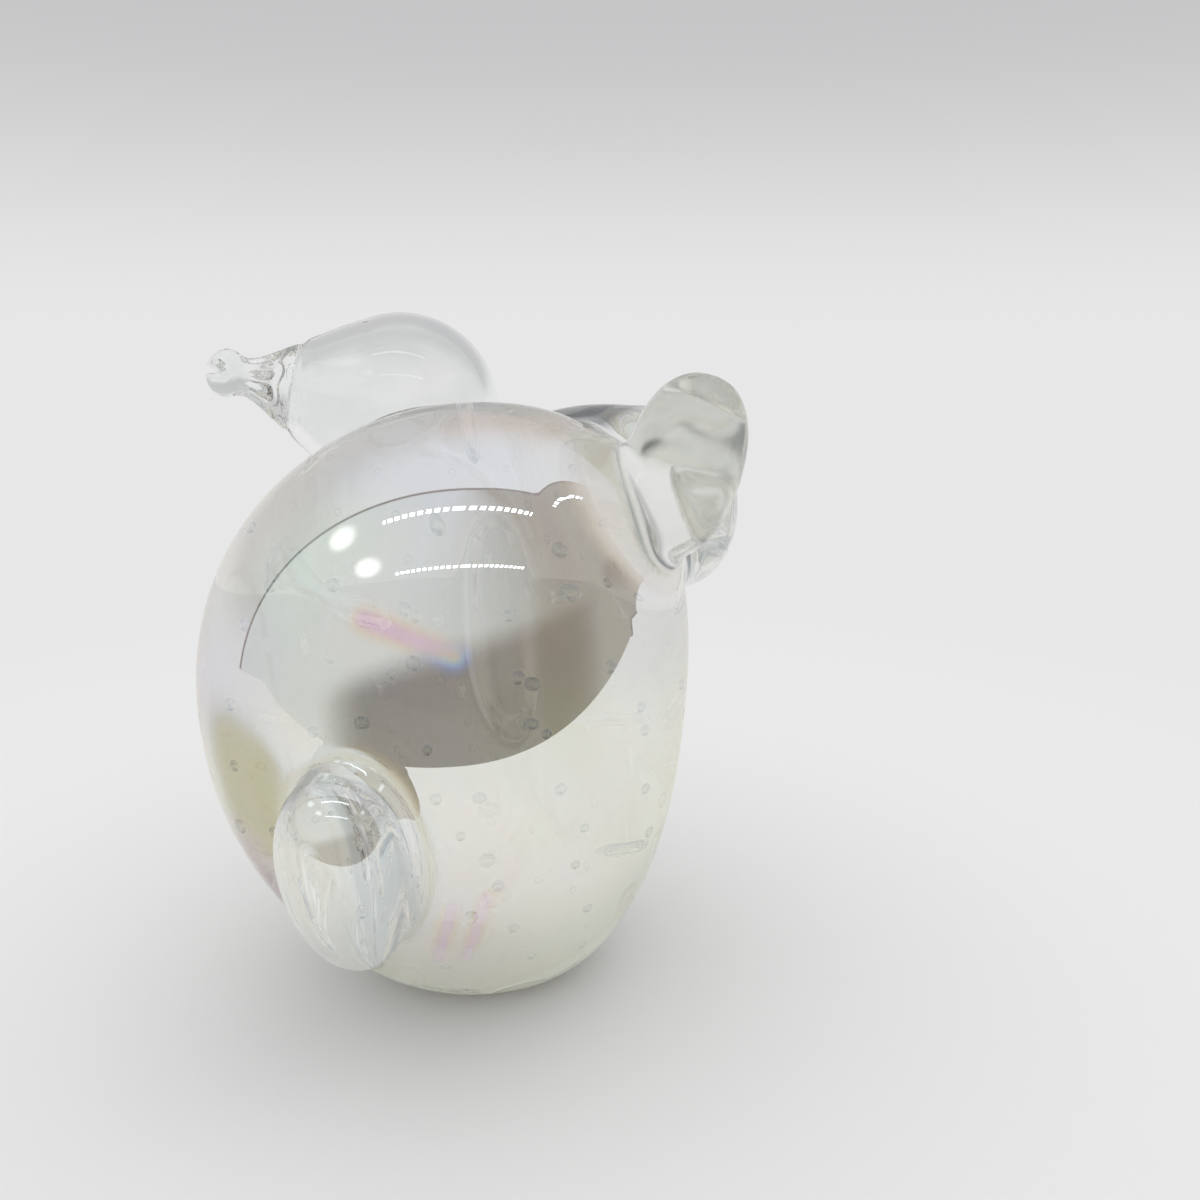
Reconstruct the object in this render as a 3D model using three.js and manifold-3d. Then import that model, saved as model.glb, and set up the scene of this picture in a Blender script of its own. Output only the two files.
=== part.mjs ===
// Solid art-glass rabbit, hot-worked from separate gathers of glass that are fused while soft.
// Millimetres, +Z up. The rabbit sits with its tail at +Y, and its head is turned to its left, towards +X.
// It stands on a ground base at z = 0.
import * as THREE from "three";
import { mergeVertices } from "three/addons/utils/BufferGeometryUtils.js";
import Module from "manifold-3d";

const wasm = await Module();
wasm.setup();

// Gap left at every joint between two gathers
const fuseGap = 0.3;

// Body: an upright egg with a curved back, ground flat underneath
const bodyHalfWidth = 38.5;
const bodyHalfDepth = 39.0;
const bodyHalfHeight = 48.6;
const bodyTaper = 0.1;
const bodySquareness = 2.15;
const baseCut = 4.4;
const backCurve = 6.3;
const curveHeading = new THREE.Vector3(-1, 0, 0);

// Inner gather: the same egg inside the casing's wall, reaching through the ground base
const casingWall = 8.0;
const coreCut = 2.4;

// Air bubbles: dimples pricked in the inner gather and closed over by the casing
const bubbleRadius = 1.25;
const bubbleColumns = 13;
const bubbleRows = 9;
const bubbleLowest = -0.78;
const bubbleHighest = 0.8;
const bubbleTwist = 0.16;

// Head: a clear ball over the body's front, drawn out to a pinched muzzle with a round nose and a mouth slit
const headHeading = new THREE.Vector3(0.2, -0.61, 0.77).normalize();
const headStand = 9.3;
const headRadius = 17.3;
const muzzleAxis = new THREE.Vector3(0.977, 0.0, 0.215).normalize();
const muzzleLength = 35.0;
const muzzleNeck = 2.8;
const muzzleShoulder = 0.5;
const muzzleEase = 12.0;
const neckEase = 6.0;
const noseRadius = 4.4;
const noseHalfLength = 3.4;
const noseStart = -Math.PI / 4;
const mouthDepth = 4.0;
const mouthHalfGap = 0.5;

// Left ear: a root from the head, a pad pressed on the body's shoulder and a hollowed tongue turned up from both
const earHalfLength = 15.8;
const earHalfWidth = 8.8;
const earHalfThickness = 5.6;
const earSquareness = 2.25;
const earSideRim = 4.6;
const earEndRim = 5.4;
const hollowDepth = 2.8;
const hollowAside = 2.0;
const tongueHeading = new THREE.Vector3(-0.64, 0.31, 0.7).normalize();
const tongueStand = 7.4;
const tongueTip = new THREE.Vector3(-0.37, -0.54, 0.755).normalize();
const tongueFront = new THREE.Vector3(-0.08, -0.79, -0.61).normalize();
const rootHeading = new THREE.Vector3(-0.56, -0.28, 0.78).normalize();
const rootStand = 1.2;
const rootFrom = new THREE.Vector3(-17, -6, -7);
const rootHalfLength = 30.0;
const rootHalfWidth = 9.0;
const rootHalfThickness = 7.5;
const padHeading = new THREE.Vector3(-0.57, 0.42, 0.71).normalize();
const padSink = 4.3;
const padAxis = new THREE.Vector3(-0.44, 0.5, -0.75).normalize();
const padHalfLength = 12.0;
const padHalfWidth = 11.0;
const padHalfThickness = 6.0;

// Right ear: a stem from the head and a lobe laid on the shoulder behind the left ear
const lobeHeading = new THREE.Vector3(-0.79, -0.21, 0.57).normalize();
const lobeStand = 2.0;
const lobeAxis = new THREE.Vector3(-0.42, -0.64, -0.64).normalize();
const lobeHalfLength = 19.5;
const lobeHalfWidth = 13.4;
const lobeHalfThickness = 13.0;
const lobeTaper = -0.26;
const stemHeading = new THREE.Vector3(-0.46, -0.66, 0.58).normalize();
const stemStand = 1.6;
const stemHalfLength = 26.0;
const stemHalfWidth = 7.0;
const stemHalfThickness = 6.5;

// Tail: a long drop laid on the rump
const tailHeading = new THREE.Vector3(0.36, 0.9, -0.23).normalize();
const tailStand = 1.5;
const tailDown = new THREE.Vector3(-0.1, -0.24, -0.96).normalize();
const tailOut = new THREE.Vector3(0.4, 0.9, -0.18).normalize();
const tailHalfLength = 15.6;
const tailHalfWidth = 8.7;
const tailHalfThickness = 9.0;
const tailTaper = -0.12;
const tailSquareness = 2.2;

// Facets round and along each form
const casingFacets = { around: 48, along: 30 };
const coreFacets = { around: 28, along: 18 };
const headFacets = { around: 32, along: 9 };
const lobeFacets = { around: 24, along: 16 };
const earFacets = { around: 28, along: 20 };
const hollowFacets = { around: 20, along: 14 };
const tailFacets = { around: 28, along: 20 };
const dimpleFacets = { around: 5, along: 4 };

// Squareness of a plain round form
const roundness = 2.0;

// Glass finishes
const clearGlass = { color: 0xe9efe6, roughness: 0.03, metalness: 0.0 };
const lustreGlass = { color: 0xdfe2ea, roughness: 0.05, metalness: 0.0 };

const upward = new THREE.Vector3(0, 0, 1);
const backward = new THREE.Vector3(0, 1, 0);

const bodyShape = {
  halfWidth: bodyHalfWidth,
  halfThickness: bodyHalfDepth,
  halfLength: bodyHalfHeight,
  taper: bodyTaper,
  squareness: bodySquareness,
  curve: backCurve,
};
const coreShape = {
  ...bodyShape,
  halfWidth: bodyHalfWidth - casingWall,
  halfThickness: bodyHalfDepth - casingWall,
  halfLength: bodyHalfHeight - casingWall,
};
const rootShape = {
  halfWidth: rootHalfWidth,
  halfThickness: rootHalfThickness,
  halfLength: rootHalfLength,
  taper: 0,
  squareness: roundness,
  curve: 0,
};
const padShape = {
  halfWidth: padHalfWidth,
  halfThickness: padHalfThickness,
  halfLength: padHalfLength,
  taper: 0,
  squareness: roundness,
  curve: 0,
};
const stemShape = {
  halfWidth: stemHalfWidth,
  halfThickness: stemHalfThickness,
  halfLength: stemHalfLength,
  taper: 0,
  squareness: roundness,
  curve: 0,
};
const lobeShape = {
  halfWidth: lobeHalfWidth,
  halfThickness: lobeHalfThickness,
  halfLength: lobeHalfLength,
  taper: lobeTaper,
  squareness: roundness,
  curve: 0,
};
const mouthShape = {
  halfWidth: noseRadius + noseHalfLength,
  halfThickness: mouthHalfGap,
  halfLength: mouthDepth,
  taper: 0,
  squareness: roundness,
  curve: 0,
};
const earShape = {
  halfWidth: earHalfWidth,
  halfThickness: earHalfThickness,
  halfLength: earHalfLength,
  taper: 0,
  squareness: earSquareness,
  curve: 0,
};
const hollowShape = {
  ...earShape,
  halfWidth: earHalfWidth - earSideRim,
  halfThickness: hollowDepth,
  halfLength: earHalfLength - earEndRim,
};
const tailShape = {
  halfWidth: tailHalfWidth,
  halfThickness: tailHalfThickness,
  halfLength: tailHalfLength,
  taper: tailTaper,
  squareness: tailSquareness,
  curve: 0,
};

/** A three.js geometry as a closed solid for the cuts. */
function toSolid(geometry) {
  const bare = geometry.clone();
  bare.deleteAttribute("normal");
  bare.deleteAttribute("uv");
  const merged = mergeVertices(bare);
  return new wasm.Manifold(
    new wasm.Mesh({
      numProp: 3,
      vertProperties: merged.attributes.position.array,
      triVerts: new Uint32Array(merged.index.array),
    }),
  );
}

/** A closed solid as a named mesh of glass. */
function toMesh(name, solid, finish) {
  const found = solid.getMesh();
  const points = new Float32Array(found.numVert * 3);
  for (let i = 0; i < found.numVert; i++) {
    const start = i * found.numProp;
    points.set(found.vertProperties.subarray(start, start + 3), i * 3);
  }
  const geometry = new THREE.BufferGeometry();
  geometry.setAttribute("position", new THREE.BufferAttribute(points, 3));
  geometry.setIndex(new THREE.BufferAttribute(found.triVerts, 1));
  geometry.computeVertexNormals();
  const mesh = new THREE.Mesh(geometry, new THREE.MeshStandardMaterial(finish));
  mesh.name = name;
  return mesh;
}

/** Where a direction meets a rounded egg, in the egg's own frame with its long axis along z. */
function eggPoint(direction, shape, grow = 0) {
  const n = shape.squareness;
  const size = Math.abs(direction.x) ** n + Math.abs(direction.y) ** n + Math.abs(direction.z) ** n;
  const along = direction.clone().divideScalar(size ** (1 / n));
  const girth = 1 + shape.taper * along.z;
  const point = new THREE.Vector3(
    (shape.halfWidth + grow) * along.x * girth,
    (shape.halfThickness + grow) * along.y * girth,
    (shape.halfLength + grow) * along.z,
  );
  return point.addScaledVector(curveHeading, shape.curve * along.z ** 2);
}

/** The turn and shift that put an egg's z on its long axis, its y along facing and its middle on centre. */
function eggPlace(centre, longAxis, facing) {
  const z = longAxis.clone().normalize();
  const x = new THREE.Vector3().crossVectors(facing, z).normalize();
  const y = new THREE.Vector3().crossVectors(z, x);
  return new THREE.Matrix4().makeBasis(x, y, z).setPosition(centre);
}

/** The point that stands off an egg's surface by the given distance along a heading from its middle. */
function standOff(shape, place, heading, stand) {
  const turnBack = place.clone().invert();
  const inside = heading.clone().transformDirection(turnBack);
  const surface = eggPoint(inside, shape).applyMatrix4(place);
  return surface.addScaledVector(heading, stand);
}

/** A rounded egg as a solid, larger by grow all round. */
function eggSolid(shape, place, facets, grow = 0) {
  const geometry = new THREE.SphereGeometry(1, facets.around, facets.along);
  geometry.rotateX(Math.PI / 2);
  const points = geometry.attributes.position;
  const direction = new THREE.Vector3();
  for (let i = 0; i < points.count; i++) {
    direction.fromBufferAttribute(points, i);
    const point = eggPoint(direction, shape, grow);
    points.setXYZ(i, point.x, point.y, point.z);
  }
  geometry.applyMatrix4(place);
  return toSolid(geometry);
}

/** Everything that the grinding takes off below the base. */
function groundAway() {
  const side = 4 * Math.max(bodyHalfWidth, bodyHalfDepth, bodyHalfHeight);
  const block = new THREE.BoxGeometry(side, side, side);
  block.translate(0, 0, -side / 2);
  return toSolid(block);
}

// The body leans so that the middle of its ground base lies on the origin
const baseLean = backCurve * (1 - baseCut / bodyHalfHeight) ** 2;
const bodyCentre = curveHeading.clone().multiplyScalar(-baseLean);
bodyCentre.z = bodyHalfHeight - baseCut;
const coreCentre = bodyCentre.clone();
coreCentre.z = coreShape.halfLength - coreCut;

const bodyPlace = eggPlace(bodyCentre, upward, backward);
const corePlace = eggPlace(coreCentre, upward, backward);
const headCentre = standOff(bodyShape, bodyPlace, headHeading, headStand);
const headPlace = eggPlace(headCentre, muzzleAxis, upward);
const tongueCentre = standOff(bodyShape, bodyPlace, tongueHeading, tongueStand);
const rootCentre = standOff(bodyShape, bodyPlace, rootHeading, rootStand);
const rootStart = headCentre.clone().add(rootFrom);
const rootAxis = tongueCentre.clone().sub(rootStart).normalize();
const padCentre = standOff(bodyShape, bodyPlace, padHeading, -padSink);
const lobeCentre = standOff(bodyShape, bodyPlace, lobeHeading, lobeStand);
const stemCentre = standOff(bodyShape, bodyPlace, stemHeading, stemStand);
const tailPlace = eggPlace(standOff(bodyShape, bodyPlace, tailHeading, tailStand), tailDown, tailOut);

/** Middles of the air bubbles on the inner gather, in staggered rows that wind round it. */
function bubbleCentres() {
  const centres = [];
  for (let row = 0; row < bubbleRows; row++) {
    const height = bubbleLowest + ((bubbleHighest - bubbleLowest) * row) / (bubbleRows - 1);
    const girth = Math.sqrt(1 - height * height);
    for (let column = 0; column < bubbleColumns; column++) {
      const turn = ((column + (row % 2) / 2) / bubbleColumns) * 2 * Math.PI + bubbleTwist * row;
      const direction = new THREE.Vector3(girth * Math.cos(turn), girth * Math.sin(turn), height);
      centres.push(eggPoint(direction, coreShape).applyMatrix4(corePlace));
    }
  }
  return centres;
}

/** The inner gather with its pricked dimples, ground flat at the base. */
function bodyCore() {
  let core = eggSolid(coreShape, corePlace, coreFacets).subtract(groundAway());
  for (const centre of bubbleCentres()) {
    const dimple = new THREE.SphereGeometry(bubbleRadius, dimpleFacets.around, dimpleFacets.along);
    dimple.translate(centre.x, centre.y, centre.z);
    core = core.subtract(toSolid(dimple));
  }
  return toMesh("body_core", core, clearGlass);
}

/** The outer gather over the core, ground flat and open at the base where the core shows. */
function bodyCasing() {
  const outside = eggSolid(bodyShape, bodyPlace, casingFacets).subtract(groundAway());
  const inside = eggSolid(coreShape, corePlace, coreFacets, fuseGap);
  return toMesh("body_casing", outside.subtract(inside), lustreGlass);
}

/** The body's outer egg, larger by the gap, as the cutter for what is laid on it. */
function bodySeat() {
  return eggSolid(bodyShape, bodyPlace, casingFacets, fuseGap);
}

/** The ball and muzzle of the head turned about the muzzle's axis, larger by grow all round. */
function headBlank(grow = 0) {
  const shoulder = new THREE.Vector2(Math.cos(muzzleShoulder), Math.sin(muzzleShoulder));
  const start = shoulder.clone().multiplyScalar(headRadius + grow);
  const neck = new THREE.Vector2(muzzleNeck + grow, muzzleLength - 2 * noseHalfLength);
  const outline = new THREE.Path();
  outline.absarc(0, 0, headRadius + grow, -Math.PI / 2, muzzleShoulder, false);
  outline.bezierCurveTo(
    start.x - shoulder.y * muzzleEase,
    start.y + shoulder.x * muzzleEase,
    neck.x,
    neck.y - neckEase,
    neck.x,
    neck.y,
  );
  outline.absellipse(
    0,
    muzzleLength - noseHalfLength,
    noseRadius + grow,
    noseHalfLength + grow,
    noseStart,
    Math.PI / 2,
    false,
  );
  const points = outline.getPoints(headFacets.along);
  points[0].x = 0;
  points[points.length - 1].x = 0;
  const geometry = new THREE.LatheGeometry(points, headFacets.around);
  geometry.rotateX(Math.PI / 2);
  geometry.applyMatrix4(headPlace);
  return toSolid(geometry);
}

/** The head gather with its mouth slit, seated on the body's front. */
function head() {
  const tip = headCentre.clone().addScaledVector(muzzleAxis, muzzleLength);
  const mouth = eggSolid(mouthShape, eggPlace(tip, muzzleAxis, upward), hollowFacets);
  const solid = headBlank().subtract(mouth).subtract(bodySeat());
  return toMesh("head", solid, clearGlass);
}

/** The left ear's tongue before it is hollowed, larger by grow all round. */
function earTongue(grow = 0) {
  return eggSolid(earShape, eggPlace(tongueCentre, tongueTip, tongueFront), earFacets, grow);
}

/** The left ear's root and pad as one form, larger by grow all round. */
function earSeat(grow = 0) {
  const root = eggSolid(rootShape, eggPlace(rootCentre, rootAxis, upward), lobeFacets, grow);
  const pad = eggSolid(padShape, eggPlace(padCentre, padAxis, padHeading), lobeFacets, grow);
  return root.add(pad);
}

/** The left ear, with the hollow pressed into the far side of its tongue. */
function earLeft() {
  const side = new THREE.Vector3().crossVectors(tongueFront, tongueTip).normalize();
  const middle = tongueCentre.clone().addScaledVector(tongueFront, earHalfThickness);
  middle.addScaledVector(side, hollowAside);
  const hollow = eggSolid(hollowShape, eggPlace(middle, tongueTip, tongueFront), hollowFacets);
  const blank = earTongue().subtract(hollow).add(earSeat());
  const solid = blank.subtract(headBlank(fuseGap)).subtract(bodySeat());
  return toMesh("ear_left", solid, clearGlass);
}

/** The right ear: its lobe and stem as one gather, laid against the left ear. */
function earRight() {
  const stemAxis = lobeCentre.clone().sub(headCentre).normalize();
  const lobe = eggSolid(lobeShape, eggPlace(lobeCentre, lobeAxis, upward), lobeFacets);
  const stem = eggSolid(stemShape, eggPlace(stemCentre, stemAxis, upward), lobeFacets);
  const blank = lobe.add(stem).subtract(earTongue(fuseGap)).subtract(earSeat(fuseGap));
  const solid = blank.subtract(headBlank(fuseGap)).subtract(bodySeat());
  return toMesh("ear_right", solid, clearGlass);
}

/** The tail drop, seated on the rump. */
function tail() {
  const solid = eggSolid(tailShape, tailPlace, tailFacets).subtract(bodySeat());
  return toMesh("tail", solid, clearGlass);
}

const rabbit = new THREE.Group();
rabbit.name = "glass_rabbit";
rabbit.add(bodyCasing());
rabbit.add(bodyCore());
rabbit.add(head());
rabbit.add(earLeft());
rabbit.add(earRight());
rabbit.add(tail());

export default rabbit;
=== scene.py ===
"""Looks of the hot-worked glass rabbit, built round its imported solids.

The gathers of glass are described as smooth distance fields in millimetres, in the frame of the solids.
They are melted together into one skin, which is then parted again at the fused joints into one closed
mesh per gather, so that light passes through the joints as it does through real fused glass.
"""

import logging
import math
from collections.abc import Callable
from dataclasses import dataclass, field, replace
from enum import Enum

import bmesh
import bpy
import numpy as np
from mathutils import Matrix, Vector


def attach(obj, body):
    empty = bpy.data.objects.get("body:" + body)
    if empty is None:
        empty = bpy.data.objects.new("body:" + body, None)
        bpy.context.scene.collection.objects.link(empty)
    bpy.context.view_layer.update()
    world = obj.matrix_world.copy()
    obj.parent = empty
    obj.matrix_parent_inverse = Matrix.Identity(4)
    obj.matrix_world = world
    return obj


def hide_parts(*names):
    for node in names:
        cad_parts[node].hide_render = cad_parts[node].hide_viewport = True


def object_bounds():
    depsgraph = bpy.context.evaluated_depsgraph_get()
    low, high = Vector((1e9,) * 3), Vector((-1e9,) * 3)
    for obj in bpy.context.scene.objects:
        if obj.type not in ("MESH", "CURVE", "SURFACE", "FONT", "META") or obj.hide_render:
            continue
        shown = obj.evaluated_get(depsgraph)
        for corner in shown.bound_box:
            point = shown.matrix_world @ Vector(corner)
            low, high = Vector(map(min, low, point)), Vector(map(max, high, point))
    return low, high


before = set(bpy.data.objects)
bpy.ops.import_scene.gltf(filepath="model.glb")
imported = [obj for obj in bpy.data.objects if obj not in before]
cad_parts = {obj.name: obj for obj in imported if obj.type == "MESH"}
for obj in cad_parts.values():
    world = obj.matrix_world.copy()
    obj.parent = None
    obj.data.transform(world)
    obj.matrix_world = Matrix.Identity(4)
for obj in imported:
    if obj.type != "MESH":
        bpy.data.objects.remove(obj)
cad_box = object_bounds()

MILLIMETRE = 0.001

# Steps of the grid that the skin is drawn on, in millimetres
FINE_STEP = 0.8
# Thickness of the tail's faint lustre, in nanometres
FAINT_FILM = 46.0
BUBBLE_SUBDIVISIONS = 2
CELL_CORNERS = 8
# Limits that keep divisions safe
LEAST_GIRTH = 0.2
LEAST_SLOPE = 0.05
TINY = 1e-4

Colour = tuple[float, float, float, float]
Spot = tuple[float, float, float]
Span = tuple[float, float]
Socket = bpy.types.NodeSocket
Array = np.ndarray

log = logging.getLogger("glass_rabbit")


class Joint(Enum):
    """How far two gathers melt into each other, in millimetres of blend."""

    CRISP = 3.0
    FUSED = 5.0
    FLOWING = 6.0


class Coat(Enum):
    """How much of the iridescent lustre a gather carries."""

    NONE = 0
    FAINT = 1
    FULL = 2


class Region(Enum):
    """What a face of a gather's mesh is, and so which finish it wears."""

    SKIN = 0
    FUSED = 1
    BUBBLE = 2


def unit(x: float, y: float, z: float) -> Array:
    """A direction of length one."""
    direction = np.array([x, y, z], float)
    return direction / np.linalg.norm(direction)


def pointing(x: float, y: float, z: float) -> Array:
    """A field of a dataclass that holds a direction of length one."""
    return field(default_factory=lambda: unit(x, y, z))


UP = unit(0, 0, 1)
BACK = unit(0, 1, 0)


def melt(one: Array, other: Array, blend: float) -> Array:
    """Joins two distance fields with a soft fillet.

    Args:
        one: Distances to the first form.
        other: Distances to the second form.
        blend: Width of the fillet in millimetres.

    Returns:
        Distances to the joined form.
    """
    near = np.maximum(blend - np.abs(one - other), 0.0) / blend
    return np.minimum(one, other) - near * near * blend / 4


def press(form: Array, tool: Array, blend: float) -> Array:
    """Takes a tool's form out of another form, leaving a soft edge.

    Args:
        form: Distances to the form that is kept.
        tool: Distances to the form that is taken out.
        blend: Width of the softened edge in millimetres.

    Returns:
        Distances to what is left.
    """
    return -melt(-form, tool, blend)


@dataclass(frozen=True)
class Egg:
    """A rounded egg in its own frame, long along z, in millimetres."""

    half_width: float
    half_thickness: float
    half_length: float
    taper: float = 0.0
    squareness: float = 2.0
    curve: float = 0.0

    def point(self, direction: Array) -> Array:
        """Where a direction meets the egg.

        Args:
            direction: A direction in the egg's own frame.

        Returns:
            The point on the egg's surface.
        """
        size = np.sum(np.abs(direction) ** self.squareness) ** (1 / self.squareness)
        along = direction / size
        girth = 1 + self.taper * along[2]
        return np.array([
            self.half_width * along[0] * girth - self.curve * along[2] ** 2,
            self.half_thickness * along[1] * girth,
            self.half_length * along[2],
        ])

    def distance(self, points: Array) -> Array:
        """Distances from points in the egg's own frame to its surface, negative inside.

        Args:
            points: One row of x, y and z for each point.

        Returns:
            One distance for each point.
        """
        n = self.squareness
        high = points[:, 2] / self.half_length
        girth = np.maximum(1 + self.taper * high, LEAST_GIRTH)
        wide = self.half_width * girth
        thick = self.half_thickness * girth
        a = (points[:, 0] + self.curve * high ** 2) / wide
        b = points[:, 1] / thick
        size = (np.abs(a) ** n + np.abs(b) ** n + np.abs(high) ** n) ** (1 / n)
        size = np.maximum(size, TINY)
        slope_a = np.sign(a) * (np.abs(a) / size) ** (n - 1)
        slope_b = np.sign(b) * (np.abs(b) / size) ** (n - 1)
        slope_c = np.sign(high) * (np.abs(high) / size) ** (n - 1)
        swell = self.taper / (self.half_length * girth)
        lean = 2 * self.curve * high / (self.half_length * wide)
        rise = slope_a * (lean - a * swell) - slope_b * b * swell + slope_c / self.half_length
        steep = np.sqrt((slope_a / wide) ** 2 + (slope_b / thick) ** 2 + rise ** 2)
        return (size - 1) / np.maximum(steep, TINY)


@dataclass(frozen=True)
class Placed:
    """An egg set in the figure's frame: its middle, its long axis and the way its y faces."""

    egg: Egg
    centre: Array
    long_axis: Array
    facing: Array

    def axes(self) -> Array:
        """The egg's own axes in the figure's frame.

        Returns:
            Its x, y and z as rows.
        """
        z = self.long_axis / np.linalg.norm(self.long_axis)
        x = np.cross(self.facing, z)
        x = x / np.linalg.norm(x)
        return np.array([x, np.cross(z, x), z])

    def distance(self, points: Array) -> Array:
        """Distances from points in the figure's frame, negative inside."""
        return self.egg.distance((points - self.centre) @ self.axes().T)

    def stand_off(self, heading: Array, stand: float) -> Array:
        """A point that stands off the surface along a heading from the middle.

        Args:
            heading: The direction from the egg's middle.
            stand: How far the point stands off the surface.

        Returns:
            The point in the figure's frame.
        """
        axes = self.axes()
        return self.centre + self.egg.point(axes @ heading) @ axes + heading * stand


@dataclass
class Gather:
    """One gather of hot glass: a form that is fused to the body, and the solids that it stands for."""

    name: str = "gather"
    nodes: tuple[str, ...] = ()
    slot: str = "clear_glass"
    coat: Coat = Coat.NONE

    def forms(self, points: Array) -> list[tuple[Array, float]]:
        """The gather's forms, in the order in which they are melted on.

        Args:
            points: One row of x, y and z for each point, in the figure's frame.

        Returns:
            For each form, the points' distances to it and how far it melts into what is there.
        """
        raise NotImplementedError

    def distance(self, points: Array) -> Array:
        """Distances from points to the nearest of the gather's forms, negative inside."""
        return np.min([distance for distance, _ in self.forms(points)], 0)

    def air(self, points: Array) -> Array:
        """Distances from points to the air blown into the gather, which most gathers don't have."""
        return np.full(len(points), np.inf)

    def darkness(self, points: Array) -> Array:
        """How much darker the glass is tinted at points, from 0 to 1."""
        return np.zeros(len(points))

    def frost(self, points: Array) -> Array:
        """How frosty the glass is at points, from 0 to 1."""
        return np.zeros(len(points))


@dataclass
class Body(Gather):
    """The bubbled egg of the body: an inner gather pricked with dimples under a lustred casing."""

    name: str = "glass_body"
    nodes: tuple[str, ...] = ("body_casing", "body_core")
    slot: str = "lustre_glass"
    coat: Coat = Coat.FULL
    egg: Egg = Egg(38.5, 39.0, 48.6, taper=0.1, squareness=2.15, curve=6.3)
    base_cut: float = 4.4
    casing_wall: float = 8.0
    core_cut: float = 2.4
    bubble_radius: float = 0.88
    bubble_sizes: Span = (0.8, 1.1)
    bubble_columns: int = 13
    bubble_rows: int = 9
    bubble_lowest: float = -0.78
    bubble_highest: float = 0.66
    bubble_twist: float = 0.16
    bubble_drift: float = 1.4
    bubble_clearance: float = 1.5
    bubble_seed: int = 7
    bare_reach: float = 3.0

    def __post_init__(self) -> None:
        """Sets the egg so that the middle of its ground base lies on the origin."""
        lean = self.egg.curve * (1 - self.base_cut / self.egg.half_length) ** 2
        self.placed = Placed(self.egg, np.array([lean, 0, self.egg.half_length - self.base_cut]), UP, BACK)

    def forms(self, points: Array) -> list[tuple[Array, float]]:
        """The body's one form."""
        return [(self.placed.distance(points), Joint.CRISP.value)]

    def bubbles(self) -> list[tuple[Array, float]]:
        """Middles and radii of the air bubbles, in staggered rows that wind round the inner gather.

        Returns:
            One middle in millimetres and one radius for each bubble.
        """
        wall = self.casing_wall
        core = replace(
            self.egg,
            half_width=self.egg.half_width - wall,
            half_thickness=self.egg.half_thickness - wall,
            half_length=self.egg.half_length - wall,
        )
        middle = self.placed.centre.copy()
        middle[2] = core.half_length - self.core_cut
        chance = np.random.default_rng(self.bubble_seed)
        found = []
        for row in range(self.bubble_rows):
            share = row / (self.bubble_rows - 1)
            height = self.bubble_lowest + (self.bubble_highest - self.bubble_lowest) * share
            girth = math.sqrt(1 - height * height)
            for column in range(self.bubble_columns):
                turn = (column + row % 2 / 2) / self.bubble_columns * math.tau + self.bubble_twist * row
                direction = np.array([girth * math.cos(turn), girth * math.sin(turn), height])
                drift = chance.normal(0, self.bubble_drift, 3)
                size = self.bubble_radius * chance.uniform(*self.bubble_sizes)
                found.append((middle + core.point(direction) + drift, size))
        return found


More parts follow.
